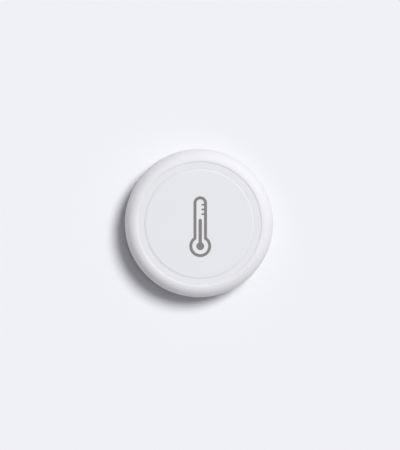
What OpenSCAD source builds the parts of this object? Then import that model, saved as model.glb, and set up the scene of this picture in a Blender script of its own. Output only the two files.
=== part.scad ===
// Round temperature and humidity sensor that lies flat on a wall or a shelf.
// Millimetres. The adhesive pad lies on z = 0, the face looks along +Z and the top of its symbol is
// along +Y. The base stays on the wall, the body twists off the base, and the middle of the face presses.

/* [Front shell] */
// outer diameter of the front shell
body_d = 36; // [34:0.5:44]
// width of the rounded rim, from the outline in to the lip
rim_w = 3.13; // [2.8:0.01:3.6]
// radius of the side below the rim's crown
flank_r = 4.2; // [3.8:0.1:5]
// angle at which the rim's crown meets the side
crown_turn = 48; // [44:1:54]
// radius on the lip's inner top edge
lip_edge_r = 0.46; // [0.26:0.02:0.6]
// radius on the shell's lower outer edge
foot_edge_r = 1; // [0.6:0.1:1.3]
// thickness of the side wall
wall_t = 2.05; // [1.95:0.05:2.3]
// thickness of the ledge that carries the light ring
ledge_t = 0.8; // [0.7:0.05:1]
// height of the shell's lower edge above the base's underside
shell_lift = 0.1; // [0.05:0.05:0.3]

/* [Light ring] */
// width of the recessed ring between lip and button
channel_w = 1.59; // [1.4:0.01:1.9]
// depth of the recessed ring below the lip
channel_depth = 0.11; // [0.08:0.01:0.2]
// thickness of the light ring
ring_t = 0.7; // [0.6:0.05:0.9]
// gap between the light ring and the lip around it
ring_gap = 0.01; // [0.01:0.01:0.05]
// diameter of the light ring's pegs
peg_d = 1.2; // [1:0.1:1.4]
// gap between a peg and its hole in the ledge
peg_gap = 0.04; // [0.02:0.01:0.06]
// distance from a peg's end to its light
peg_light_gap = 0.15; // [0.1:0.05:0.2]

/* [Button] */
// thickness of the button's face
button_t = 1.2; // [1:0.05:1.5]
// gap all round the button's land
button_gap = 0.02; // [0.02:0.01:0.08]
// height of the land that fits the light ring
button_land = 0.4; // [0.3:0.05:0.6]
// radius on the button's top edge
button_edge_r = 1.5; // [0.5:0.05:2]
// travel of the button
button_travel = 0.25; // [0.2:0.01:0.3]
// gap round the button below its land, and round its legs
leg_gap = 0.1; // [0.08:0.01:0.15]
// thickness of the button's three legs
leg_t = 1.1; // [0.9:0.05:1.3]
// angle that each leg spans
leg_span = 36; // [28:1:40]
// how far a leg's hook reaches under the ledge
hook_reach = 0.9; // [0.7:0.05:1]
// thickness of a hook
hook_t = 0.5; // [0.4:0.05:0.55]
// gap between a hook and the ledge above it
hook_gap = 0.05; // [0.03:0.01:0.08]
// diameter of the boss that presses the switch
press_boss_d = 3.4; // [2.6:0.1:4]

/* [Base] */
// thickness of the adhesive pad
pad_t = 0.8; // [0.6:0.1:1.1]
// diameter of the adhesive pad
pad_d = 22; // [18:0.5:23]
// depth of the pad's seat in the base
pad_seat = 0.2; // [0.1:0.05:0.3]
// gap round the pad in its seat
pad_gap = 0.1; // [0.05:0.05:0.3]
// thickness of the base's floor
base_t = 1.1; // [1:0.05:1.4]
// radius on the base's lower edge
base_edge_r = 0.3; // [0.2:0.05:0.5]
// thickness of the base's collar
collar_t = 1.05; // [0.9:0.05:1.2]
// running gap between the base and the shell, and round the lugs
bayonet_gap = 0.15; // [0.1:0.01:0.18]
// height of the lugs above the floor
lug_rise = 0.9; // [0.8:0.05:1]
// thickness of a lug
lug_t = 0.75; // [0.65:0.05:0.85]
// how far a lug reaches out of the collar
lug_reach = 0.8; // [0.6:0.05:0.9]
// angle that each lug spans
lug_span = 20; // [16:1:24]
// turn from locked to free
twist_angle = 22; // [20:1:28]
// angle left free at each end of a lug's track
track_end_gap = 0.4; // [0.2:0.1:0.8]
// width of a vent slot
vent_w = 0.9; // [0.7:0.05:1.1]
// length of a vent slot
vent_len = 2.2; // [1.8:0.1:2.4]
// angle between the vent slots of one group
vent_step = 9; // [8:0.5:10]

/* [Coin cell] */
// diameter of the coin cell
cell_d = 20; // [19:0.1:20.4]
// height of the coin cell
cell_h = 3.2; // [2.5:0.1:3.3]
// radius on the can's lower edge
can_edge_r = 0.4; // [0.3:0.05:0.5]
// width of the can's crimped rim round the seal
can_rim_w = 0.8; // [0.7:0.05:1]
// height of the slope on the crimped rim
crimp_h = 0.35; // [0.25:0.05:0.5]
// how far the cap stands above the crimped rim
cap_rise = 0.25; // [0.2:0.05:0.3]
// height of the cap
cap_h = 1; // [0.8:0.05:1.2]
// radius on the cap's upper edge
cap_edge_r = 0.3; // [0.2:0.05:0.4]
// thickness of the seal
seal_t = 0.3; // [0.25:0.05:0.4]
// gap between the cell and the floor below it
cell_floor_gap = 0.1; // [0.05:0.05:0.3]
// gap round the cell in its pocket
cell_gap = 0.2; // [0.15:0.05:0.3]

/* [Contacts] */
// space over the cell for its spring
spring_space = 0.5; // [0.45:0.05:0.7]
// thickness of the contact springs
contact_t = 0.15; // [0.12:0.01:0.2]
// width of the contact springs
contact_w = 3; // [2.4:0.1:3.4]
// gap between a side contact and the chassis
contact_gap = 0.4; // [0.3:0.05:0.6]
// length of a side contact's foot on the board, past the pocket wall
contact_foot = 2; // [1.5:0.1:2.2]
// how far a side contact's lower end flares out
contact_flare = 0.35; // [0.25:0.05:0.4]
// half width of the flat that the twin leaf is soldered by
leaf_root = 1.4; // [1.2:0.1:1.8]
// length of each half of the twin leaf
leaf_len = 3.2; // [2.8:0.1:4]
// length of the turned-up tip of each leaf
leaf_tip = 1; // [0.8:0.1:1.2]

/* [Chassis] */
// thickness of the chassis plate
chassis_t = 0.9; // [0.8:0.05:1.1]
// wall of the chassis round the cell
pocket_t = 1; // [0.8:0.05:1.2]
// gap round the chassis and the board inside the shell
inside_gap = 0.2; // [0.15:0.05:0.3]
// diameter of the chassis screws
screw_d = 1.2; // [1.1:0.05:1.3]
// diameter of the screws' heads
screw_head_d = 2.2; // [2:0.1:2.3]
// height of the screws' heads
screw_head_h = 0.7; // [0.6:0.05:0.75]
// length of the screws under their heads
screw_len = 2.7; // [2.4:0.1:2.8]
// width of the cross in the screws' heads
cross_w = 0.24; // [0.2:0.02:0.3]
// gap between a screw and its hole in the chassis
screw_hole_gap = 0.15; // [0.1:0.05:0.2]
// depth of a boss's hole past the screw's tip
screw_tip_gap = 0.15; // [0.1:0.05:0.25]
// wall of a screw boss round its screw
boss_wall = 0.6; // [0.5:0.05:0.7]
// width of the shoulder that holds the board down
boss_shoulder = 0.3; // [0.2:0.05:0.35]
// gap between a boss and its notch in the board
notch_gap = 0.08; // [0.05:0.01:0.12]

/* [Circuit board] */
// thickness of the circuit board
board_t = 0.8; // [0.6:0.1:1]
// space over the board, up to the button's underside
board_space = 1.5; // [1.45:0.05:1.8]
// gap between neighbouring parts on the board
part_gap = 0.6; // [0.4:0.05:0.7]
// width of the radio chip
radio_w = 6; // [5:0.5:6.5]
// height of the radio chip
radio_h = 0.85; // [0.7:0.05:0.9]
// diameter of the mark at the radio chip's first corner
radio_mark_d = 0.7; // [0.5:0.1:0.9]
// depth of that mark
radio_mark_t = 0.08; // [0.05:0.01:0.1]
// length of the clock crystal
crystal_l = 3.2; // [2.5:0.1:3.4]
// width of the clock crystal
crystal_w = 2.5; // [2:0.1:2.6]
// height of the clock crystal
crystal_h = 0.7; // [0.6:0.05:0.8]
// inset and thickness of the clock crystal's lid
crystal_lid = 0.2; // [0.15:0.01:0.25]
// width of the climate sensor
sensor_w = 2.5; // [2:0.1:2.6]
// height of the climate sensor
sensor_h = 0.9; // [0.5:0.05:0.9]
// diameter of the climate sensor's opening
sensor_hole_d = 1; // [0.8:0.1:1.2]
// depth of the climate sensor's opening
sensor_hole_t = 0.25; // [0.15:0.05:0.3]
// gap between the climate sensor and its window in the chassis
window_gap = 0.5; // [0.3:0.05:0.6]
// distance from that window to the edge of the chassis
window_edge = 0.525; // [0.45:0.025:0.7]
// width of the slots that keep the board's warmth from the sensor
slot_w = 0.8; // [0.6:0.05:1]
// length of a status light
led_l = 1.6; // [1.4:0.1:1.8]
// width of a status light
led_w = 0.8; // [0.7:0.05:1]
// height of a status light
led_h = 0.55; // [0.4:0.05:0.6]
// length of the small capacitors and resistors
chip_l = 1; // [0.9:0.05:1.1]
// width of the small capacitors and resistors
chip_w = 0.5; // [0.4:0.05:0.55]
// height of the small capacitors
capacitor_h = 0.5; // [0.4:0.05:0.55]
// height of the small resistors
resistor_h = 0.35; // [0.3:0.05:0.4]
// diameter of a test pad
test_pad_d = 1.2; // [1:0.1:1.4]
// thickness of the copper antenna and the test pads
copper_t = 0.05; // [0.03:0.01:0.08]
// width of the antenna's track
track_w = 0.4; // [0.3:0.05:0.5]
// distance between the antenna's folds
track_step = 2; // [1.6:0.1:2.1]
// length of the antenna's folds
track_len = 2.6; // [2.2:0.1:2.8]
// length of the antenna's feed
track_feed = 1.4; // [1:0.1:1.6]
// distance from the antenna's outer folds to the board's edge
track_edge = 1.5; // [1.4:0.1:1.8]

/* [Switch] */
// width of the switch's square base
switch_w = 5.2; // [4.8:0.1:5.8]
// height of the switch's base
switch_base_h = 0.65; // [0.6:0.05:0.7]
// floor under the switch's dome
switch_floor = 0.15; // [0.1:0.05:0.2]
// thickness of the switch's steel cover
switch_cover_t = 0.12; // [0.1:0.01:0.15]
// diameter of the plunger where it leaves the cover
plunger_d = 2.2; // [1.8:0.1:2.4]
// gap round the plunger in the cover
plunger_gap = 0.08; // [0.05:0.01:0.12]
// diameter of the plunger's collar under the cover
plunger_collar_d = 3; // [2.8:0.1:3.2]
// thickness of the plunger's collar
plunger_collar_t = 0.18; // [0.15:0.01:0.2]
// height that the plunger still stands above the cover when pressed
plunger_spare = 0.07; // [0.05:0.01:0.1]
// diameter of the dome
dome_d = 3.8; // [3.4:0.1:4]
// thickness of the dome
dome_t = 0.06; // [0.05:0.01:0.08]
// gap round the dome in its well
dome_gap = 0.1; // [0.05:0.01:0.15]
// length of a solder leg's foot
terminal_l = 0.8; // [0.6:0.05:0.9]
// width of a solder leg
terminal_w = 0.7; // [0.5:0.05:0.8]
// thickness of a solder leg
terminal_t = 0.12; // [0.1:0.01:0.15]
// height of a solder leg on the switch's side
terminal_h = 0.35; // [0.3:0.05:0.4]

/* [Hidden] */
$fn = 96;

// angles round the axis: three of each, spread evenly from these
thirds = [0, 120, 240];
screw_at = 90;
leg_at = 30;
led_at = 60;
lug_at = 60;
sensor_at = 270;
antenna_at = 30;
vents_each_side = 2;
contact_sides = [0, 180];

// touch is the gap between pieces that bear on each other, over is how far a cut runs past a face
touch = 0.02;
over = 1;

// how deep a rounding reaches into its piece, and how far past its arc it is drawn, as shares of its radius
slice_in = 0.8;
slice_out = 2;

// heights, from the wall up
base_z = pad_t - pad_seat;
floor_z = base_z + base_t;
cell_z = floor_z + cell_floor_gap;
cell_top = cell_z + cell_h;
board_z = cell_top + spring_space;
board_top = board_z + board_t;
plate_z = board_top + board_space;
top_z = plate_z + button_t;
ring_top = top_z - channel_depth;
ledge_top = ring_top - ring_t;
ledge_z = ledge_top - ledge_t;
shell_z = base_z + shell_lift;
chassis_z = board_z - chassis_t;
lug_z = floor_z + lug_rise;
lug_top = lug_z + lug_t;
track_top = lug_top + bayonet_gap;
hook_top = ledge_z - hook_gap;
hook_z = hook_top - hook_t;
boss_hole_top = chassis_z + screw_len + screw_tip_gap;
peg_z = board_top + led_h + peg_light_gap;

// radii, from the outline in
body_r = body_d / 2;
lip_r = body_r - rim_w;
button_r = lip_r - channel_w;
opening_r = button_r + button_gap;
ring_r = lip_r - ring_gap;
bore_r = body_r - wall_t;
base_r = bore_r - bayonet_gap;
collar_in = base_r - collar_t;
lug_r = base_r + lug_reach;
track_r = lug_r + bayonet_gap;
inside_r = bore_r - inside_gap;
leg_r = opening_r - leg_gap;
leg_in = leg_r - leg_t;
hook_r = leg_r + hook_reach;
cell_r = cell_d / 2;
pocket_r = cell_r + cell_gap;
pocket_out = pocket_r + pocket_t;
pad_r = pad_d / 2;
screw_r = screw_d / 2;
screw_head_r = screw_head_d / 2;
head_edge_r = screw_head_h / 2;
boss_r = screw_r + boss_wall;
notch_r = boss_r + notch_gap;
screw_ring_r = inside_r - boss_r;
peg_ring_r = (opening_r + ring_r) / 2;
vent_ring_r = (pocket_out + collar_in) / 2;
sensor_ring_r = inside_r - window_edge - window_gap - sensor_w / 2;

// edges of the lip and the button: how far each rounding turns and reaches on its way down to the light ring
lip_edge_turn = acos(1 - channel_depth / lip_edge_r);
lip_edge_w = lip_edge_r * sin(lip_edge_turn);
button_edge_turn = acos(1 - channel_depth / button_edge_r);
button_edge_w = button_edge_r * sin(button_edge_turn);
land_z = ring_top - button_land;

// the rim's crown follows from its width and the side's curve
crown_w = rim_w - lip_edge_w;
crown_r = (crown_w - flank_r * (1 - sin(crown_turn))) / sin(crown_turn);
crown_dir = [sin(crown_turn), cos(crown_turn)];
crown_c = [lip_r + lip_edge_w, top_z - crown_r];
crown_end = crown_c + crown_r * crown_dir;
flank_c = crown_end - flank_r * crown_dir;

// the coin cell's rim and cap
rim_top = cell_top - cap_rise;
cap_z = cell_top - cap_h;
seal_r = cell_r - can_rim_w;
cap_r = seal_r - seal_t - touch;
crimp_w = can_rim_w / 2;

// the switch
switch_top = board_top + switch_base_h;
cover_top = switch_top + switch_cover_t;
well_z = board_top + switch_floor;
well_r = dome_d / 2 + dome_gap;
plunger_r = plunger_d / 2;
collar_r = plunger_collar_d / 2;
collar_z = switch_top - touch - plunger_collar_t;
plunger_top = cover_top + button_travel + plunger_spare;
dome_h = collar_z - touch - well_z;
dome_r = (pow(dome_d / 2, 2) + pow(dome_h, 2)) / (2 * dome_h);
dome_c = [0, well_z + dome_h - dome_r];
terminal_corners = [[1, 1], [1, -1], [-1, 1], [-1, -1]];

// places on the board, outward from the switch
chip_step = chip_w + part_gap;
switch_side = switch_w / 2 + terminal_l + part_gap;
radio_x = -switch_side - radio_w / 2;
radio_y = part_gap;
crystal_y = radio_y + radio_w / 2 + part_gap + crystal_w / 2;
crystal_side = radio_x + crystal_l / 2 + part_gap + chip_w / 2;
chip_row_y = radio_y - radio_w / 2 - part_gap - chip_l / 2;
pad_step = test_pad_d + part_gap;
capacitor_at = concat(
  [for (i = [0 : 3]) [crystal_side + i * chip_step, crystal_y, 90]],
  [for (i = [0 : 2]) [radio_x + i * chip_step, chip_row_y, 90]],
  [for (i = [0 : 2]) [switch_side + chip_l / 2, chip_row_y - i * chip_step, 0]]
);
resistor_at = concat(
  [for (i = [1 : 2]) [radio_x - i * chip_step, chip_row_y, 90]],
  [for (i = [0 : 2]) [switch_side + chip_l / 2, crystal_y + i * chip_step, 0]],
  [[switch_side + chip_l * 3 / 2 + part_gap, chip_row_y, 0]]
);
test_pad_at = [
  for (row = [-1 : 1]) for (i = [0 : 1]) [switch_side + test_pad_d / 2 + i * pad_step, row * pad_step]
];

// the antenna's folds, counted along the track
folds = 5;
track_y = inside_r - track_edge - track_len;
track_x = -(folds - 1) * track_step / 2;

// the outer part of a circle of radius r about c, from angle a0 to a1: it rounds a corner that a polygon cuts off
module slice(c, r, a0, a1) {
  d0 = [cos(a0), sin(a0)];
  d1 = [cos(a1), sin(a1)];
  translate(c)
    intersection() {
      circle(r);
      polygon([slice_in * r * d0, slice_out * r * d0, slice_out * r * d1, slice_in * r * d1]);
    }
}

// a block bent round the axis, centred on the angle at
module bent_block(r0, r1, z0, z1, at, span)
  rotate([0, 0, at - span / 2])
    rotate_extrude(angle = span)
      translate([r0, z0])
        square([r1 - r0, z1 - z0]);

// a flat ring
module ring(r0, r1, z0, z1)
  rotate_extrude()
    translate([r0, z0])
      square([r1 - r0, z1 - z0]);

// a round bar along z
module post(r, z0, z1)
  translate([0, 0, z0])
    cylinder(r = r, h = z1 - z0);

// a box centred on the axis
module block(x, y, z0, z1)
  translate([-x / 2, -y / 2, z0])
    cube([x, y, z1 - z0]);

// a bent strip: a side view drawn in x and z, and its width along y
module strip(width, points)
  translate([0, width / 2, 0])
    rotate([90, 0, 0])
      linear_extrude(width)
        polygon(points);

// moves its children out to radius r at the angle at
module out_to(r, at)
  rotate([0, 0, at])
    translate([r, 0, 0])
      children();

// moves its children to a place on the board: x, y and turn
module place(at)
  translate([at[0], at[1], 0])
    rotate([0, 0, at[2]])
      children();

// foam pad, sticky on both faces
module adhesive_pad()
  color("gainsboro")
    post(pad_r, 0, pad_t);

// one vent slot with round ends
module vent() {
  end_x = (vent_len - vent_w) / 2;
  for (side = [-1, 1])
    translate([side * end_x, 0, 0])
      post(vent_w / 2, base_z - over, floor_z + over);
  block(2 * end_x, vent_w, base_z - over, floor_z + over);
}

// wall base: floor, collar, three bayonet lugs, vents and the pad's seat
module base_plate()
  color("whitesmoke")
    difference() {
      union() {
        rotate_extrude() {
          polygon([
            [0, base_z], [base_r - base_edge_r, base_z], [base_r, base_z + base_edge_r], [base_r, lug_top],
            [collar_in, lug_top], [collar_in, floor_z], [0, floor_z]
          ]);
          slice([base_r - base_edge_r, base_z + base_edge_r], base_edge_r, 270, 360);
        }
        for (turn = thirds)
          bent_block(base_r - collar_t / 2, lug_r, lug_z, lug_top, lug_at + turn, lug_span);
      }
      post(pad_r + pad_gap, base_z - over, pad_t);
      for (turn = thirds)
        for (i = [-vents_each_side : vents_each_side])
          out_to(vent_ring_r, sensor_at + turn + i * vent_step)
            vent();
    }

// half section of the front shell
module shell_section() {
  polygon([
    [opening_r, ledge_z], [opening_r, ledge_top], [lip_r, ledge_top],
    [lip_r, ring_top], [lip_r + lip_edge_w, top_z], crown_end,
    [body_r, flank_c[1]], [body_r, shell_z + foot_edge_r], [body_r - foot_edge_r, shell_z],
    [bore_r, shell_z], [bore_r, ledge_z]
  ]);
  slice([lip_r + lip_edge_w, top_z - lip_edge_r], lip_edge_r, 90, 90 + lip_edge_turn);
  slice(crown_c, crown_r, 90 - crown_turn, 90);
  slice(flank_c, flank_r, 0, 90 - crown_turn);
  slice([body_r - foot_edge_r, shell_z + foot_edge_r], foot_edge_r, 270, 360);
}

// the way of one lug in the shell: in from below, then round to the stop
module lug_track(at) {
  bent_block(bore_r - over, track_r, lug_z - bayonet_gap, track_top,
    at - twist_angle / 2, twist_angle + lug_span + 2 * track_end_gap);
  bent_block(bore_r - over, track_r, shell_z - over, track_top,
    at - twist_angle, lug_span + 2 * track_end_gap);
}

// round front shell: rim, ledge, screw bosses and the lugs' tracks
module front_shell()
  color("white")
    difference() {
      union() {
        rotate_extrude()
          shell_section();
        for (turn = thirds)
          out_to(screw_ring_r, screw_at + turn) {
            post(boss_r, board_z, ledge_z + touch);
            post(boss_r + boss_shoulder, board_top, ledge_z + touch);
          }
      }
      for (turn = thirds) {
        out_to(screw_ring_r, screw_at + turn)
          post(screw_r + touch, board_z - over, boss_hole_top);
        out_to(peg_ring_r, led_at + turn)
          post(peg_d / 2 + peg_gap, ledge_z - over, ledge_top + over);
        lug_track(lug_at + turn);
      }
    }

// opal ring with pegs that lead the lights up through the ledge
module light_ring()
  color("ghostwhite") {
    ring(opening_r, ring_r, ledge_top, ring_top);
    for (turn = thirds)
      out_to(peg_ring_r, led_at + turn)
        post(peg_d / 2, peg_z, ledge_top + touch);
  }

// inner frame: plate under the board and pocket round the cell
module chassis()
  color("dimgray")
    difference() {
      union() {
        ring(pocket_r, inside_r, chassis_z, board_z);
        ring(pocket_r, pocket_out, cell_z + cell_gap, chassis_z + touch);
      }
      for (turn = thirds)
        out_to(screw_ring_r, screw_at + turn)
          post(screw_r + screw_hole_gap, chassis_z - over, board_z + over);
      out_to(sensor_ring_r, sensor_at)
        block(sensor_w + 2 * window_gap, sensor_w + 2 * window_gap, chassis_z - over, board_z + over);
      for (side = contact_sides)
        rotate([0, 0, side])
          translate([cell_r, -contact_w / 2 - contact_gap, cell_z])
            cube([pocket_out - cell_r + contact_foot + contact_gap, contact_w + 2 * contact_gap, cell_h + over]);
    }

// half section of a screw: shank and pan head
module screw_section() {
  translate([0, chassis_z - head_edge_r])
    square([screw_r, head_edge_r + screw_len]);
  translate([0, chassis_z - head_edge_r])
    square([screw_head_r, head_edge_r]);
  translate([0, chassis_z - screw_head_h])
    square([screw_head_r - head_edge_r, screw_head_h]);
  slice([screw_head_r - head_edge_r, chassis_z - head_edge_r], head_edge_r, 270, 360);
}

// three pan-head screws that hold chassis and board in the shell
module chassis_screws()
  color("silver")
    for (turn = thirds)
      out_to(screw_ring_r, screw_at + turn)
        difference() {
          rotate_extrude()
            screw_section();
          for (cross = [0, 90])
            rotate([0, 0, cross])
              block(screw_d, cross_w, chassis_z - screw_head_h - over, chassis_z - head_edge_r);
        }

// steel can of the coin cell, its plus side down
module coin_cell_can()
  color("lightgray")
    rotate_extrude() {
      polygon([
        [0, cell_z], [cell_r - can_edge_r, cell_z], [cell_r, cell_z + can_edge_r], [cell_r, rim_top - crimp_h],
        [cell_r - crimp_w, rim_top], [seal_r, rim_top], [seal_r, cap_z], [0, cap_z]
      ]);
      slice([cell_r - can_edge_r, cell_z + can_edge_r], can_edge_r, 270, 360);
    }

// plastic seal between can and cap
module coin_cell_seal()
  color("darkslategray")
    ring(cap_r + touch, seal_r - touch, cap_z, rim_top + touch);

// steel cap of the coin cell, its minus side up
module coin_cell_cap()
  color("silver")
    rotate_extrude() {
      polygon([
        [0, cap_z], [cap_r, cap_z], [cap_r, cell_top - cap_edge_r], [cap_r - cap_edge_r, cell_top], [0, cell_top]
      ]);
      slice([cap_r - cap_edge_r, cell_top - cap_edge_r], cap_edge_r, 0, 90);
    }

// two leaves that press on the can's side, flared at their lower ends
module positive_contacts()
  color("goldenrod") {
    leaf_x = cell_r + touch;
    flare_x = leaf_x + contact_flare;
    bend_z = cell_z + can_edge_r + contact_flare;
    end_z = cell_z + can_edge_r;
    foot_x = pocket_out + contact_foot;
    for (side = contact_sides)
      rotate([0, 0, side])
        strip(contact_w, [
          [leaf_x, board_z], [leaf_x, bend_z], [flare_x, end_z], [flare_x + contact_t, end_z],
          [leaf_x + contact_t, bend_z], [leaf_x + contact_t, board_z - contact_t],
          [foot_x, board_z - contact_t], [foot_x, board_z]
        ]);
  }

// half of the twin leaf, from its soldered flat out to its turned-up tip
module leaf_half() {
  bend_x = leaf_root + leaf_len;
  tip_x = bend_x + leaf_tip;
  low_z = cell_top + touch;
  tip_z = low_z + contact_t / 2;
  strip(contact_w, [
    [0, board_z], [leaf_root, board_z], [leaf_root, board_z - contact_t], [bend_x, low_z + contact_t],
    [tip_x, tip_z + contact_t], [tip_x, tip_z], [bend_x, low_z], [leaf_root - contact_t, board_z - 2 * contact_t],
    [0, board_z - 2 * contact_t]
  ]);
}

// twin leaf that presses on the cap
module negative_contact()
  color("goldenrod")
    for (side = [0, 180])
      rotate([0, 0, side])
        leaf_half();

// round board, notched for the screw bosses and slotted round the climate sensor
module circuit_board()
  color("seagreen")
    difference() {
      post(inside_r, board_z, board_top);
      for (turn = thirds)
        out_to(screw_ring_r, screw_at + turn) {
          post(notch_r, board_z - over, board_top + over);
          translate([boss_r, 0, 0])
            block(2 * boss_r, 2 * notch_r, board_z - over, board_top + over);
        }
      for (side = [-1, 1])
        out_to(sensor_ring_r, sensor_at)
          translate([0, side * (sensor_w + slot_w + 2 * window_gap) / 2, 0])
            block(sensor_w + slot_w, slot_w, board_z - over, board_top + over);
    }

// copper antenna: a folded track at the board's edge
module antenna()
  color("peru")
    rotate([0, 0, antenna_at])
      translate([track_x, track_y, board_top]) {
        for (i = [0 : folds - 1])
          translate([i * track_step - track_w / 2, 0, 0])
            cube([track_w, track_len, copper_t]);
        for (i = [0 : folds - 2])
          translate([i * track_step, (i % 2 == 0) ? track_len - track_w : 0, 0])
            cube([track_step, track_w, copper_t]);
        translate([(folds - 1) * track_step - track_w / 2, -track_feed, 0])
          cube([track_w, track_feed + track_w, copper_t]);
      }

// radio chip with its corner mark
module radio_chip()
  color("black")
    place([radio_x, radio_y, 0])
      difference() {
        block(radio_w, radio_w, board_top, board_top + radio_h);
        translate([radio_mark_d - radio_w / 2, radio_w / 2 - radio_mark_d, 0])
          post(radio_mark_d / 2, board_top + radio_h - radio_mark_t, board_top + radio_h + over);
      }

// clock crystal: ceramic tub and metal lid
module crystal()
  color("silver")
    place([radio_x, crystal_y, 0]) {
      block(crystal_l, crystal_w, board_top, board_top + crystal_h - crystal_lid);
      block(crystal_l - 2 * crystal_lid, crystal_w - 2 * crystal_lid, board_top, board_top + crystal_h);
    }

// temperature and humidity sensor under the board, its opening facing the vents
module climate_sensor()
  color("black")
    out_to(sensor_ring_r, sensor_at)
      difference() {
        block(sensor_w, sensor_w, board_z - sensor_h, board_z);
        post(sensor_hole_d / 2, board_z - sensor_h - over, board_z - sensor_h + sensor_hole_t);
      }

// three lights under the light ring's pegs
module status_leds()
  color("lightyellow")
    for (turn = thirds)
      out_to(peg_ring_r, led_at + turn)
        block(led_w, led_l, board_top, board_top + led_h);

// small capacitors beside the chips
module capacitors()
  color("tan")
    for (at = capacitor_at)
      place(at)
        block(chip_l, chip_w, board_top, board_top + capacitor_h);

// small resistors beside the chips
module resistors()
  color("dimgray")
    for (at = resistor_at)
      place(at)
        block(chip_l, chip_w, board_top, board_top + resistor_h);

// gold pads for testing and programming
module test_pads()
  color("gold")
    for (at = test_pad_at)
      translate([at[0], at[1], 0])
        post(test_pad_d / 2, board_top, board_top + copper_t);

// moulded base of the switch with a round well
module switch_base()
  color("black")
    difference() {
      block(switch_w, switch_w, board_top, switch_top);
      post(well_r, well_z, switch_top + over);
    }

// four solder legs of the switch
module switch_terminals()
  color("silver")
    for (corner = terminal_corners)
      translate([corner[0] * switch_w / 2, corner[1] * (switch_w / 2 - terminal_w), 0])
        rotate([0, 0, 90 - 90 * corner[0]]) {
          translate([terminal_l / 2, 0, 0])
            block(terminal_l, terminal_w, board_top, board_top + terminal_t);
          translate([terminal_t / 2, 0, 0])
            block(terminal_t, terminal_w, board_top, board_top + terminal_h);
        }

// snap dome that clicks and pushes the button back
module switch_dome()
  color("gray")
    rotate_extrude()
      intersection() {
        difference() {
          translate(dome_c)
            circle(dome_r);
          translate(dome_c)
            circle(dome_r - dome_t);
        }
        translate([0, well_z])
          square([dome_d, dome_h + over]);
      }

// steel cover that holds the plunger in
module switch_cover()
  color("silver")
    difference() {
      block(switch_w, switch_w, switch_top, cover_top);
      post(plunger_r + plunger_gap, switch_top - over, cover_top + over);
    }

// plunger between dome and button
module switch_plunger()
  color("black") {
    post(collar_r, collar_z, switch_top - touch);
    post(plunger_r, collar_z, plunger_top);
  }

// half section of the button's disc
module button_section() {
  edge_in = button_r - button_edge_w;
  polygon([
    [0, plate_z], [leg_r, plate_z], [leg_r, land_z], [button_r, land_z], [button_r, ring_top],
    [edge_in, top_z], [0, top_z]
  ]);
  slice([edge_in, top_z - button_edge_r], button_edge_r, 90 - button_edge_turn, 90);
}

// face that presses: disc, three hooked legs and the boss over the switch
module face_button()
  color("white") {
    rotate_extrude()
      button_section();
    for (turn = thirds) {
      bent_block(leg_in, leg_r, hook_z, plate_z + touch, leg_at + turn, leg_span);
      bent_block(leg_in, hook_r, hook_z, hook_top, leg_at + turn, leg_span);
    }
    post(press_boss_d / 2, plunger_top, plate_z + touch);
  }

adhesive_pad();
base_plate();
front_shell();
light_ring();
chassis();
chassis_screws();
coin_cell_can();
coin_cell_seal();
coin_cell_cap();
positive_contacts();
negative_contact();
circuit_board();
antenna();
radio_chip();
crystal();
climate_sensor();
status_leds();
capacitors();
resistors();
test_pads();
switch_base();
switch_terminals();
switch_dome();
switch_cover();
switch_plunger();
face_button();
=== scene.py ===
"""Dresses the round temperature and humidity sensor: finishes, symbol, pad, dome, studio and camera."""

import logging
import math
from dataclasses import dataclass, field
from enum import Enum

import bmesh
import bpy
from mathutils import Matrix, Vector


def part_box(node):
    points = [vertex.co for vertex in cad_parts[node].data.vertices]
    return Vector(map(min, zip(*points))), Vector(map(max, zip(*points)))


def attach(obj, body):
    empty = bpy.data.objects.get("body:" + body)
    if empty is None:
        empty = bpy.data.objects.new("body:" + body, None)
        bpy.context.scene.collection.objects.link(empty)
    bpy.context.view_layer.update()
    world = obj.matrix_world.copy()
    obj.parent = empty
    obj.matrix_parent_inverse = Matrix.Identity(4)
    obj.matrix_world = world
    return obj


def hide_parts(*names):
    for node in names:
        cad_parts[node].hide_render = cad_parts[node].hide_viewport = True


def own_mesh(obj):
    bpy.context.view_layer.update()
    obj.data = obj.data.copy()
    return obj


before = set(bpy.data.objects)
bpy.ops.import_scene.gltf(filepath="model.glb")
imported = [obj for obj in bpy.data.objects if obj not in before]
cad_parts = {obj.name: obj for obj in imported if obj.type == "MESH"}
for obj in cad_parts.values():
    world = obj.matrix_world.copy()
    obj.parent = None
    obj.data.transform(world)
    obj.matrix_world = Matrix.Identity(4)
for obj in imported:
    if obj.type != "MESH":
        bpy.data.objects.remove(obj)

log = logging.getLogger("sensor")

MM = 0.001
AXIS_R = 1e-6
SHARP_ANGLE = 35.0
# sockets of Blender's Mix node for colours, and how far its Wave texture turns in one unit
MIX_FIRST = 6
MIX_SECOND = 7
MIX_RESULT = 2
WAVE_TURN = 20.0

Point = tuple[float, float]
Colour = tuple[float, float, float, float]
Settings = dict[str | int, object]
Links = dict[str | int, bpy.types.NodeSocket]


def linear(hex_colour: str) -> Colour:
    """Turns an sRGB hex value into a linear colour.

    Args:
        hex_colour: six hex digits after a hash sign.

    Returns:
        Linear red, green, blue and full alpha.
    """
    shares = [int(hex_colour[i : i + 2], 16) / 255 for i in (1, 3, 5)]
    red, green, blue = [s / 12.92 if s <= 0.04045 else ((s + 0.055) / 1.055) ** 2.4 for s in shares]
    return red, green, blue, 1.0


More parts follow.
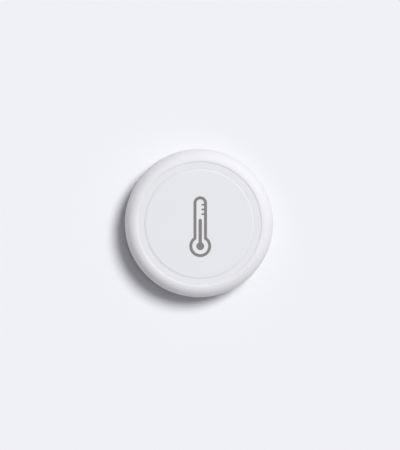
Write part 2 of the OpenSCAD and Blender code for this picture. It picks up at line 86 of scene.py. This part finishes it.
def add_node(
    tree: bpy.types.NodeTree, kind: str, settings: Settings | None = None, links: Links | None = None
) -> bpy.types.Node:
    """Adds one node with its settings and links.

    Args:
        tree: the node tree that gets the node.
        kind: Blender's name for the node.
        settings: the node's own options, and values for its sockets by name or number.
        links: sockets of other nodes that feed this node's sockets.

    Returns:
        The new node.
    """
    node = tree.nodes.new(kind)
    for name, value in (settings or {}).items():
        if isinstance(name, str) and hasattr(node, name):
            setattr(node, name, value)
        else:
            node.inputs[name].default_value = value
    for name, socket in (links or {}).items():
        tree.links.new(socket, node.inputs[name])
    return node


def seen_by_eye(tree: bpy.types.NodeTree) -> bpy.types.NodeSocket:
    """Tells rays that are seen, directly, mirrored or through clear pieces, from those that carry light.

    Args:
        tree: the node tree that asks.

    Returns:
        A socket that is 1 for rays that are seen and 0 for others.
    """
    path = add_node(tree, "ShaderNodeLightPath")
    mirrored = add_node(
        tree,
        "ShaderNodeMath",
        {"operation": "MAXIMUM"},
        {0: path.outputs["Is Glossy Ray"], 1: path.outputs["Is Transmission Ray"]},
    )
    seen = add_node(
        tree,
        "ShaderNodeMath",
        {"operation": "MAXIMUM"},
        {0: path.outputs["Is Camera Ray"], 1: mirrored.outputs["Value"]},
    )
    return seen.outputs["Value"]


def noise(
    tree: bpy.types.NodeTree, place: bpy.types.NodeSocket, size_mm: float, detail: float, roughness: float
) -> bpy.types.NodeSocket:
    """Adds a noise pattern.

    Args:
        tree: the node tree that gets the pattern.
        place: the place on the surface.
        size_mm: the pattern's size in millimetres.
        detail: how many finer layers it has.
        roughness: how strong the finer layers are.

    Returns:
        The pattern's strength, from 0 to 1.
    """
    settings = {"Scale": 1 / (size_mm * MM), "Detail": detail, "Roughness": roughness}
    return add_node(tree, "ShaderNodeTexNoise", settings, {"Vector": place}).outputs["Fac"]


def tint(
    tree: bpy.types.NodeTree, shader: bpy.types.Node, first: str, second: str, share: bpy.types.NodeSocket
) -> None:
    """Blends two colours into a shader's base colour.

    Args:
        tree: the shader's node tree.
        shader: the shader that gets the colour.
        first: hex value of the colour where the share is 0.
        second: hex value of the colour where the share is 1.
        share: the second colour's share.
    """
    settings = {"data_type": "RGBA", MIX_FIRST: linear(first), MIX_SECOND: linear(second)}
    mix = add_node(tree, "ShaderNodeMix", settings, {0: share})
    tree.links.new(mix.outputs[MIX_RESULT], shader.inputs["Base Color"])


def vary_gloss(
    tree: bpy.types.NodeTree, shader: bpy.types.Node, low: float, high: float, share: bpy.types.NodeSocket
) -> None:
    """Lets a shader's roughness follow a pattern.

    Args:
        tree: the shader's node tree.
        shader: the shader that gets the roughness.
        low: the roughness where the pattern is 0.
        high: the roughness where the pattern is 1.
        share: the pattern.
    """
    gloss = add_node(tree, "ShaderNodeMapRange", {"To Min": low, "To Max": high}, {"Value": share})
    tree.links.new(gloss.outputs["Result"], shader.inputs["Roughness"])


def emboss(
    tree: bpy.types.NodeTree,
    shader: bpy.types.Node,
    strength: float,
    depth_mm: float,
    height: bpy.types.NodeSocket,
) -> None:
    """Raises a pattern on a shader's surface.

    Args:
        tree: the shader's node tree.
        shader: the shader that gets the relief.
        strength: the relief's strength, from 0 to 1.
        depth_mm: its depth in millimetres.
        height: the pattern.
    """
    settings = {"Strength": strength, "Distance": depth_mm * MM}
    relief = add_node(tree, "ShaderNodeBump", settings, {"Height": height})
    tree.links.new(relief.outputs["Normal"], shader.inputs["Normal"])


class Grain(Enum):
    """How the small pattern of a metal runs."""

    ROLLED = "rolled"
    TURNED = "turned"
    TUMBLED = "tumbled"


@dataclass(frozen=True)
class Finish:
    """A finish with the values that hold all over its surface, and a pattern that each kind adds."""

    name: str
    colour: str
    roughness: float
    ior: float = 1.5
    metallic: float = 0.0

    def make(self) -> bpy.types.Material:
        """Builds the material once and gives the same one to each piece that asks.

        Returns:
            The finished material.
        """
        found = bpy.data.materials.get(self.name)
        if found is not None:
            return found
        material = bpy.data.materials.new(self.name)
        material.use_nodes = True
        material.diffuse_color = linear(self.colour)
        tree = material.node_tree
        tree.nodes.clear()
        shader = add_node(
            tree,
            "ShaderNodeBsdfPrincipled",
            {
                "Base Color": linear(self.colour),
                "Roughness": self.roughness,
                "Metallic": self.metallic,
                "IOR": self.ior,
            },
        )
        add_node(tree, "ShaderNodeOutputMaterial", links={"Surface": shader.outputs["BSDF"]})
        place = add_node(tree, "ShaderNodeTexCoord").outputs["Object"]
        self.pattern(tree, shader, place)
        return material

    def pattern(self, tree: bpy.types.NodeTree, shader: bpy.types.Node, place: bpy.types.NodeSocket) -> None:
        """Adds what varies over the surface; each kind of finish has its own."""
        raise NotImplementedError


@dataclass(frozen=True)
class MouldedPlastic(Finish):
    """Injection-moulded plastic from a spark-eroded tool: soft sheen, faint grain and slow flow shading."""

    flow_colour: str = "#FFFFFF"
    grain_mm: float = 0.3
    grain_depth_mm: float = 0.002
    flow_mm: float = 14.0
    gloss_swing: float = 0.04

    def pattern(self, tree: bpy.types.NodeTree, shader: bpy.types.Node, place: bpy.types.NodeSocket) -> None:
        """Adds flow shading and grain."""
        flow = noise(tree, place, self.flow_mm, detail=2.0, roughness=0.4)
        tint(tree, shader, self.colour, self.flow_colour, flow)
        # the tool's pits are about 0.03 mm wide, drawn ten times as coarse so that a close view shows them
        grain = noise(tree, place, self.grain_mm, detail=3.0, roughness=0.6)
        vary_gloss(tree, shader, self.roughness - self.gloss_swing, self.roughness + self.gloss_swing, grain)
        emboss(tree, shader, 1.0, self.grain_depth_mm, grain)


@dataclass(frozen=True)
class PlatedMetal(Finish):
    """Plated sheet or bar: bright, with the lines that rolling, turning or tumbling left in it."""

    grain: Grain = Grain.TUMBLED
    grain_mm: float = 0.2
    grain_depth_mm: float = 0.004
    dull_colour: str = "#808080"
    gloss_swing: float = 0.08

    def pattern(self, tree: bpy.types.NodeTree, shader: bpy.types.Node, place: bpy.types.NodeSocket) -> None:
        """Adds the lines or specks of the metal's making."""
        if self.grain is Grain.TURNED:
            marks = add_node(
                tree,
                "ShaderNodeTexWave",
                {
                    "wave_type": "RINGS",
                    "rings_direction": "Z",
                    "Scale": 1 / (self.grain_mm * MM) / WAVE_TURN,
                    "Distortion": 1.0,
                    "Detail": 2.0,
                },
                {"Vector": place},
            ).outputs["Fac"]
        else:
            stretch = (1.0, 0.05, 1.0) if self.grain is Grain.ROLLED else (1.0, 1.0, 1.0)
            drawn = add_node(tree, "ShaderNodeMapping", {"Scale": stretch}, {"Vector": place})
            marks = noise(tree, drawn.outputs["Vector"], self.grain_mm, detail=4.0, roughness=0.65)
        tint(tree, shader, self.dull_colour, self.colour, marks)
        vary_gloss(tree, shader, self.roughness + self.gloss_swing, self.roughness - self.gloss_swing, marks)
        emboss(tree, shader, 0.6, self.grain_depth_mm, marks)


@dataclass(frozen=True)
class ClosedCellFoam(Finish):
    """Acrylic foam tape: dull and soft, with the small closed cells that show on its cut edge, their hollows
    painted darker as shade.
    """

    cell_mm: float = 0.18
    cell_depth_mm: float = 0.03
    painted_hollow_shade: str = "#707274"

    def pattern(self, tree: bpy.types.NodeTree, shader: bpy.types.Node, place: bpy.types.NodeSocket) -> None:
        """Adds round cells in relief, with painted shade in their hollows."""
        cells = add_node(
            tree,
            "ShaderNodeTexVoronoi",
            {"feature": "SMOOTH_F1", "Scale": 1 / (self.cell_mm * MM), "Smoothness": 0.3},
            {"Vector": place},
        ).outputs["Distance"]
        # painted shade: the cells' hollows get a darker colour where shade would fall in them
        tint(tree, shader, self.painted_hollow_shade, self.colour, cells)
        emboss(tree, shader, 0.7, self.cell_depth_mm, cells)


@dataclass(frozen=True)
class SolderMask(Finish):
    """Gloss lacquer over woven glass cloth: the weave shows through as faint squares."""

    thread_mm: float = 0.45
    weave_depth_mm: float = 0.006
    thread_colour: str = "#2C6B45"

    def pattern(self, tree: bpy.types.NodeTree, shader: bpy.types.Node, place: bpy.types.NodeSocket) -> None:
        """Adds two crossing sets of threads under the lacquer."""
        shader.inputs["Coat Weight"].default_value = 0.6
        shader.inputs["Coat Roughness"].default_value = 0.12
        threads = [
            add_node(
                tree,
                "ShaderNodeTexWave",
                {"bands_direction": way, "Scale": 1 / (self.thread_mm * MM) / WAVE_TURN, "Distortion": 0.4},
                {"Vector": place},
            )
            for way in ("X", "Y")
        ]
        weave = add_node(
            tree,
            "ShaderNodeMath",
            {"operation": "MULTIPLY"},
            {0: threads[0].outputs["Fac"], 1: threads[1].outputs["Fac"]},
        ).outputs["Value"]
        tint(tree, shader, self.colour, self.thread_colour, weave)
        emboss(tree, shader, 0.5, self.weave_depth_mm, weave)


@dataclass(frozen=True)
class SpeckledCast(Finish):
    """Cast or fired filler, as in chips and printed ink: dull, with specks of filler at the surface."""

    speck_colour: str = "#606060"
    speck_mm: float = 0.12
    speck_depth_mm: float = 0.004
    clear: float = 0.0

    def pattern(self, tree: bpy.types.NodeTree, shader: bpy.types.Node, place: bpy.types.NodeSocket) -> None:
        """Adds specks in colour and height."""
        shader.inputs["Transmission Weight"].default_value = self.clear
        specks = noise(tree, place, self.speck_mm, detail=5.0, roughness=0.7)
        tint(tree, shader, self.colour, self.speck_colour, specks)
        emboss(tree, shader, 0.5, self.speck_depth_mm, specks)


@dataclass(frozen=True)
class FlockedPaper(Finish):
    """Paper with a short nap that leans to one side, and takes less light from the other."""

    thrown_colour: str = "#C0C0C0"
    nap_azimuth: float = 45.0
    nap_lean: float = 34.0

    def pattern(self, tree: bpy.types.NodeTree, shader: bpy.types.Node, place: bpy.types.NodeSocket) -> None:
        """Shows one colour to the eye, throws another on the object, and leans the nap."""
        shader.inputs["Specular IOR Level"].default_value = 0.0
        tint(tree, shader, self.thrown_colour, self.colour, seen_by_eye(tree))
        turn = math.radians(self.nap_azimuth)
        lean = math.radians(self.nap_lean)
        nap = add_node(
            tree,
            "ShaderNodeCombineXYZ",
            {"X": math.sin(lean) * math.cos(turn), "Y": math.sin(lean) * math.sin(turn), "Z": math.cos(lean)},
        )
        tree.links.new(nap.outputs["Vector"], shader.inputs["Normal"])


# ABS moulded in a satin tool: bright white that turns the light softly over the rim
SHELL_ABS = MouldedPlastic("abs_moulded_satin_white", "#E9E9EE", 0.64, 1.54, flow_colour="#EBEBF0")
# ABS moulded in a finer, flatter tool: a shade cooler and duller than the rim
FACE_ABS = MouldedPlastic("abs_moulded_matt_white", "#E8E9EE", 0.72, 1.54, flow_colour="#EAEBF0")
# opal polycarbonate from a matt tool: milky, and as white as the face beside it
RING_OPAL = MouldedPlastic("polycarbonate_moulded_opal", "#E7E8ED", 0.7, 1.585, flow_colour="#E9EAEF")
# ABS moulded in a plain tool: matt white
BASE_ABS = MouldedPlastic("abs_moulded_plain_white", "#E4E4E8", 0.6, 1.54, flow_colour="#E8E8EC")
# ABS moulded dark grey: the frame inside
CHASSIS_ABS = MouldedPlastic("abs_moulded_dark_grey", "#3A3B3D", 0.55, 1.54, flow_colour="#424345")
# acrylic foam cut by a die: dull grey with cells on the cut edge, their hollows painted darker as shade
PAD_FOAM = ClosedCellFoam("acrylic_foam_die_cut", "#A9ABAE", 0.85, 1.48)
# steel turned and zinc plated: cool grey with fine specks
SCREW_STEEL = PlatedMetal("steel_zinc_plated_tumbled", "#C9CBCE", 0.34, metallic=1.0, dull_colour="#9FA3A8")
# steel drawn into a can and nickel plated: warm bright grey with round drawing lines
CELL_STEEL = PlatedMetal(
    "steel_nickel_plated_drawn", "#CFCBC4", 0.26, metallic=1.0, grain=Grain.TURNED, dull_colour="#B3AFA8"
)
# spring steel rolled and nickel plated: straight lines along the strip
SPRING_STEEL = PlatedMetal(
    "spring_steel_nickel_plated_rolled",
    "#D2CDC3",
    0.3,
    metallic=1.0,
    grain=Grain.ROLLED,
    dull_colour="#B0AAA0",
)
# polypropylene moulded: dark and waxy
SEAL_PLASTIC = MouldedPlastic("polypropylene_moulded_dark", "#2C3034", 0.45, 1.49, flow_colour="#33383D")
# fibreglass board lacquered green: gloss, with the glass cloth under it
BOARD_LACQUER = SolderMask("fibreglass_lacquered_green", "#1F5A38", 0.35, 1.52)
# copper etched and gold flashed: warm, rolled lines
GOLD_COPPER = PlatedMetal(
    "copper_gold_flashed_rolled", "#E0B45C", 0.28, metallic=1.0, grain=Grain.ROLLED, dull_colour="#C4963F"
)
# epoxy moulded over a chip: black with pale filler specks
CHIP_EPOXY = SpeckledCast("epoxy_moulded_black", "#1B1B1D", 0.6, 1.55, speck_colour="#303033")
# epoxy cast clear over yellow phosphor
LIGHT_EPOXY = SpeckledCast(
    "epoxy_cast_clear_over_phosphor", "#F2E6B0", 0.2, 1.52, speck_colour="#E8D27C", clear=0.25
)
# ceramic fired tan: chip capacitors
CAPACITOR_CERAMIC = SpeckledCast("ceramic_fired_tan", "#A98765", 0.5, 1.6, speck_colour="#8E6E4F")
# ceramic fired and glazed black: chip resistors
RESISTOR_CERAMIC = SpeckledCast("ceramic_glazed_black", "#2A2A2C", 0.3, 1.6, speck_colour="#3B3B3E")
# ink pad-printed in one pass: dull grey, its edge a few thousandths of a millimetre high
SYMBOL_INK = SpeckledCast(
    "ink_pad_printed_grey", "#7E7979", 0.6, 1.5, speck_colour="#827D7D", speck_depth_mm=0.001
)
# paper flocked with short fibres that lean to the lamp: pale, with a deep shadow and little glare by the rim
TABLE_PAPER = FlockedPaper("paper_flocked_pale", "#EEEFF4", 0.9, 1.4, thrown_colour="#E6E4E8")


def put_finish(piece: bpy.types.Object, finish: Finish) -> None:
    """Gives a piece one finish in all its material slots.

    Args:
        piece: a mesh object.
        finish: the finish that it gets.
    """
    slots = piece.data.materials
    material = finish.make()
    if len(slots) == 0:
        slots.append(material)
    for i in range(len(slots)):
        slots[i] = material


def dress_nodes(finishes: dict[str, Finish]) -> None:
    """Gives CAD nodes their finishes and reports each.

    Args:
        finishes: a finish for each node's name.
    """
    for name, finish in finishes.items():
        put_finish(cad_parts[name], finish)
        log.info("node %s: %s", name, finish.name)


def new_piece(name: str, shape: bmesh.types.BMesh) -> bpy.types.Object:
    """Turns a finished shape into an object in the scene.

    Args:
        name: the piece's name.
        shape: its mesh in metres, which is used up.

    Returns:
        The new object.
    """
    mesh = bpy.data.meshes.new(name)
    shape.to_mesh(mesh)
    shape.free()
    piece = bpy.data.objects.new(name, mesh)
    bpy.context.scene.collection.objects.link(piece)
    return piece


def arc(centre: Point, radius: float, start: float, end: float, steps: int) -> list[Point]:
    """Points along an arc, both ends included.

    Args:
        centre: the arc's centre.
        radius: its radius.
        start: the first angle in degrees.
        end: the last angle in degrees.
        steps: how many straight pieces the arc gets.

    Returns:
        The points in order.
    """
    turns = [math.radians(start + (end - start) * i / steps) for i in range(steps + 1)]
    return [(centre[0] + radius * math.cos(t), centre[1] + radius * math.sin(t)) for t in turns]


def turn_section(name: str, section: list[Point], sides: int) -> bpy.types.Object:
    """Turns a section round the object's axis into a closed piece, smooth but for its sharp corners.

    Args:
        name: the piece's name.
        section: radius and height of each ring in millimetres, in order, with both ends on the axis.
        sides: how many sides the rings get.

    Returns:
        The new object.
    """
    shape = bmesh.new()
    turns = [math.tau * i / sides for i in range(sides)]
    rings = []
    for r, z in section:
        stops = turns if r > AXIS_R else turns[:1]
        rings.append([shape.verts.new((r * MM * math.cos(t), r * MM * math.sin(t), z * MM)) for t in stops])
    for lower, upper in zip(rings, rings[1:]):
        for i in range(sides):
            around = ((lower, i - 1), (lower, i), (upper, i), (upper, i - 1))
            corners = [ring[k % len(ring)] for ring, k in around]
            shape.faces.new(list(dict.fromkeys(corners)))
    bmesh.ops.recalc_face_normals(shape, faces=shape.faces)
    piece = new_piece(name, shape)
    piece.data.shade_smooth()
    piece.data.set_sharp_from_angle(angle=math.radians(SHARP_ANGLE))
    return piece


@dataclass
class ThermometerSymbol:
    """The common thermometer sign printed on the face, in millimetres from the face's middle."""

    axis_x: float = 0.165
    tube_top: float = 6.61
    tube_half: float = 1.63
    stroke: float = 0.72
    bulb_y: float = -5.42
    bulb_r: float = 2.645
    drop_r: float = 0.95
    stem_half: float = 0.41
    stem_top: float = 1.18
    tick_heights: tuple[float, ...] = (2.31, 3.43, 4.59)
    tick_reach: float = 0.275
    tick_half: float = 0.22
    ink_t: float = 0.008
    steps: int = 48
    piece: bpy.types.Object | None = field(default=None, init=False)

    def glass_edge(self, inset: float) -> list[Point]:
        """One edge of the glass, from the tube's foot on the left round the bulb and over the tube's top.

        Args:
            inset: how far inside the outer edge it runs.

        Returns:
            Points in order, anticlockwise.
        """
        half = self.tube_half - inset
        radius = self.bulb_r - inset
        neck = math.degrees(math.asin(half / radius))
        bulb = arc((0, self.bulb_y), radius, 90 + neck, 450 - neck, 2 * self.steps)
        top = arc((0, self.tube_top - self.tube_half), half, 0, 180, self.steps)
        ticks = self.tick_edges(half) if inset else []
        return bulb + ticks + top

    def tick_edges(self, half: float) -> list[Point]:
        """The ticks' edges, from the lowest up along the tube's right inner edge.

        Args:
            half: half the tube's inner width.

        Returns:
            Points in order.
        """
        points = []
        for height in self.tick_heights:
            tip = (self.tick_reach + self.tick_half, height)
            points.append((half, height - self.tick_half))
            points += arc(tip, self.tick_half, 270, 90, self.steps // 4)
            points.append((half, height + self.tick_half))
        return points

    def drop_edge(self) -> list[Point]:
        """The edge of the drop and its stem."""
        neck = math.degrees(math.asin(self.stem_half / self.drop_r))
        bulb = arc((0, self.bulb_y), self.drop_r, 90 + neck, 450 - neck, self.steps)
        return bulb + arc((0, self.stem_top - self.stem_half), self.stem_half, 0, 180, self.steps // 2)

    def build(self) -> None:
        """Fills the edges below and above and walls the ink between them, on top of the face."""
        face_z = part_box("face_button")[1].z
        shape = bmesh.new()
        below, above = [], []
        for outline in (self.glass_edge(0), self.glass_edge(self.stroke), self.drop_edge()):
            rings = []
            for edges, z in ((below, face_z), (above, face_z + self.ink_t * MM)):
                ring = [shape.verts.new(((x + self.axis_x) * MM, y * MM, z)) for x, y in outline]
                edges += [shape.edges.new((ring[i - 1], ring[i])) for i in range(len(ring))]
                rings.append(ring)
            foot, top = rings
            for i in range(len(outline)):
                shape.faces.new((foot[i - 1], foot[i], top[i], top[i - 1]))
        for edges in (below, above):
            bmesh.ops.triangle_fill(shape, edges=edges, use_beauty=True)
        bmesh.ops.recalc_face_normals(shape, faces=shape.faces)
        self.piece = new_piece("thermometer_symbol", shape)

    def dress(self) -> None:
        """Inks the symbol and lets it move with the button."""
        put_finish(self.piece, SYMBOL_INK)
        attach(self.piece, "button")
        log.info("piece %s: %s", self.piece.name, SYMBOL_INK.name)


@dataclass
class FoamPad:
    """The foam pad under the base, in millimetres: its cut edge swells a little under the load."""

    film_t: float = 0.05
    edge_in: float = 0.22
    rings: int = 10
    sides: int = 128
    piece: bpy.types.Object | None = field(default=None, init=False)

    def section(self, radius: float, height: float) -> list[Point]:
        """Half the pad's section: films flush with the cut, and foam that bulges between them.

        Args:
            radius: the pad's radius.
            height: its thickness.

        Returns:
            Radius and height of each ring, from the wall up.
        """
        inner = radius - self.edge_in
        low, high = self.film_t, height - self.film_t
        bulge = [
            (inner + self.edge_in * math.sin(math.pi * i / self.rings), low + (high - low) * i / self.rings)
            for i in range(self.rings + 1)
        ]
        return [(0.0, 0.0), (inner, 0.0), *bulge, (inner, height), (0.0, height)]

    def build(self) -> None:
        """Turns the section into a closed pad in the place of its CAD solid."""
        low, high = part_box("adhesive_pad")
        section = self.section(high.x / MM, (high.z - low.z) / MM)
        self.piece = turn_section("foam_pad", [(r, low.z / MM + z) for r, z in section], self.sides)

    def dress(self) -> None:
        """Gives the pad its foam and puts it in its CAD solid's place."""
        put_finish(self.piece, PAD_FOAM)
        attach(self.piece, "wall_base")
        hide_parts("adhesive_pad")
        log.info("piece %s: %s", self.piece.name, PAD_FOAM.name)


@dataclass
class WallBase:
    """What stays on the wall: the moulded base and its foam pad."""

    pad: FoamPad = field(default_factory=FoamPad)

    def build(self) -> None:
        """Makes the foam pad."""
        self.pad.build()

    def dress(self) -> None:
        """Finishes the base and the pad."""
        dress_nodes({"base_plate": BASE_ABS})
        self.pad.dress()


@dataclass
class FrontHousing:
    """The round shell, its light ring, and the frame that is screwed into it."""

    def dress(self) -> None:
        """Finishes the shell, ring, frame and screws."""
        dress_nodes(
            {
                "front_shell": SHELL_ABS,
                "light_ring": RING_OPAL,
                "chassis": CHASSIS_ABS,
                "chassis_screws": SCREW_STEEL,
            }
        )


@dataclass
class PressFace:
    """The face that presses, with its printed symbol and the plunger under it."""

    symbol: ThermometerSymbol = field(default_factory=ThermometerSymbol)

    def build(self) -> None:
        """Prints the symbol."""
        self.symbol.build()

    def dress(self) -> None:
        """Finishes the face, the symbol and the plunger."""
        dress_nodes({"face_button": FACE_ABS, "switch_plunger": SEAL_PLASTIC})
        self.symbol.dress()


@dataclass
class PowerCell:
    """The coin cell and its contact springs."""

    def dress(self) -> None:
        """Finishes the cell and its springs."""
        dress_nodes(
            {
                "coin_cell_can": CELL_STEEL,
                "coin_cell_seal": SEAL_PLASTIC,
                "coin_cell_cap": CELL_STEEL,
                "positive_contacts": SPRING_STEEL,
                "negative_contact": SPRING_STEEL,
            }
        )


@dataclass
class SnapDome:
    """The switch's snap dome, in millimetres: a thin steel cap that goes flatter as the face is pressed."""

    sheet_t: float = 0.06
    press: float = 0.25
    steps: int = 24
    sides: int = 64
    piece: bpy.types.Object | None = field(default=None, init=False)

    def build(self) -> None:
        """Makes the cap in the place of its CAD solid."""
        low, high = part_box("switch_dome")
        foot, rise = high.x / MM, (high.z - low.z) / MM
        radius = (foot**2 + rise**2) / (2 * rise)
        centre = (0.0, high.z / MM - radius)
        outer_foot = math.degrees(math.asin((radius - rise) / radius))
        inner_foot = math.degrees(math.asin((radius - rise) / (radius - self.sheet_t)))
        outer = arc(centre, radius, 90, outer_foot, self.steps)
        inner = arc(centre, radius - self.sheet_t, inner_foot, 90, self.steps)
        self.piece = turn_section("snap_dome", outer + inner, self.sides)

    def dress(self) -> None:
        """Gives the dome its steel, hangs it on the housing and gives it a mesh of its own."""
        put_finish(self.piece, SPRING_STEEL)
        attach(self.piece, "housing")
        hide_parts("switch_dome")
        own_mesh(self.piece)
        log.info("piece %s: %s", self.piece.name, SPRING_STEEL.name)


@dataclass
class BoardAssembly:
    """The circuit board with its chips, lights, pads and switch."""

    dome: SnapDome = field(default_factory=SnapDome)

    def build(self) -> None:
        """Makes the switch's dome."""
        self.dome.build()

    def dress(self) -> None:
        """Finishes the board and all that is soldered to it."""
        dress_nodes(
            {
                "circuit_board": BOARD_LACQUER,
                "antenna": GOLD_COPPER,
                "radio_chip": CHIP_EPOXY,
                "crystal": CELL_STEEL,
                "climate_sensor": CHIP_EPOXY,
                "status_leds": LIGHT_EPOXY,
                "capacitors": CAPACITOR_CERAMIC,
                "resistors": RESISTOR_CERAMIC,
                "test_pads": GOLD_COPPER,
                "switch_base": SEAL_PLASTIC,
                "switch_terminals": SPRING_STEEL,
                "switch_cover": SPRING_STEEL,
            }
        )
        self.dome.dress()


@dataclass
class Studio:
    """A pale table under one soft lamp from the upper right, and an even sky."""

    table_m: float = 6.0
    lamp_azimuth: float = 45.0
    lamp_elevation: float = 58.0
    lamp_spread: float = 22.0
    lamp_share: float = 0.65
    sky_share: float = 0.295

    def build(self) -> None:
        """Lays the table and sets the lights."""
        self.build_table()
        self.build_lamp()
        self.build_sky()

    def build_table(self) -> None:
        """Lays the table under the object, as part of the stage."""
        shape = bmesh.new()
        bmesh.ops.create_grid(shape, x_segments=1, y_segments=1, size=self.table_m / 2)
        table = new_piece("table", shape)
        put_finish(table, TABLE_PAPER)
        log.info("stage %s: %s", table.name, TABLE_PAPER.name)

    def build_lamp(self) -> None:
        """Hangs the lamp so far away that it lights the table evenly."""
        data = bpy.data.lights.new("lamp", "SUN")
        up = math.sin(math.radians(self.lamp_elevation))
        flat = math.cos(math.radians(self.lamp_elevation))
        turn = math.radians(self.lamp_azimuth)
        towards = Vector((flat * math.cos(turn), flat * math.sin(turn), up))
        data.energy = self.lamp_share * math.pi / up
        data.angle = math.radians(self.lamp_spread)
        lamp = bpy.data.objects.new("lamp", data)
        lamp.rotation_mode = "QUATERNION"
        lamp.rotation_quaternion = towards.to_track_quat("Z", "Y")
        lamp.location = towards
        bpy.context.scene.collection.objects.link(lamp)

    def build_sky(self) -> None:
        """Fills the shadows evenly, and shows the table's colour where the table ends."""
        world = bpy.data.worlds.new("sky")
        world.use_nodes = True
        tree = world.node_tree
        tree.nodes.clear()
        fill = add_node(
            tree, "ShaderNodeBackground", {"Color": (1.0, 1.0, 1.0, 1.0), "Strength": self.sky_share}
        )
        shown = add_node(
            tree, "ShaderNodeBackground", {"Color": linear(TABLE_PAPER.colour), "Strength": 1.0}
        )
        both = add_node(
            tree,
            "ShaderNodeMixShader",
            links={0: seen_by_eye(tree), 1: fill.outputs["Background"], 2: shown.outputs["Background"]},
        )
        add_node(tree, "ShaderNodeOutputWorld", links={"Surface": both.outputs["Shader"]})
        bpy.context.scene.world = world


@dataclass
class PhotoCamera:
    """A long lens over the object, leaning a little to the left and up, as in the photograph."""

    lens_mm: float = 180.0
    sensor_mm: float = 36.0
    image_px: tuple[int, int] = (400, 450)
    mm_per_px: float = 0.2431
    middle_px: Point = (-1.0, 1.85)
    aim_z_mm: float = 5.0
    lean_x: float = -2.0
    lean_y: float = 2.0
    clip_m: tuple[float, float] = (0.01, 20.0)

    def build(self) -> None:
        """Sets the camera over the point that the picture's middle shows."""
        data = bpy.data.cameras.new("camera")
        data.type = "PERSP"
        data.sensor_width = self.sensor_mm
        data.lens = self.lens_mm
        data.clip_start, data.clip_end = self.clip_m
        away = self.image_px[1] * self.mm_per_px * self.lens_mm / self.sensor_mm
        lean = [math.tan(math.radians(angle)) for angle in (self.lean_x, self.lean_y)]
        back = Vector((*lean, 1.0)).normalized()
        right = Vector((0.0, 1.0, 0.0)).cross(back).normalized()
        up = back.cross(right)
        aim = -(right * self.middle_px[0] + up * self.middle_px[1]) * self.mm_per_px * MM
        aim.z += self.aim_z_mm * MM
        camera = bpy.data.objects.new("camera", data)
        turn = Matrix((right, up, back)).transposed().to_4x4()
        camera.matrix_world = Matrix.Translation(aim + back * away * MM) @ turn
        bpy.context.scene.collection.objects.link(camera)
        bpy.context.scene.camera = camera


def main() -> None:
    """Builds and dresses the sensor, then sets the studio and the camera."""
    logging.basicConfig(level=logging.INFO, format="%(message)s")
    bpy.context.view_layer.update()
    wall_base = WallBase()
    wall_base.build()
    wall_base.dress()
    FrontHousing().dress()
    face = PressFace()
    face.build()
    face.dress()
    PowerCell().dress()
    board = BoardAssembly()
    board.build()
    board.dress()
    Studio().build()
    PhotoCamera().build()
    bpy.context.scene.view_settings.view_transform = "Standard"


if __name__ == "__main__":
    main()
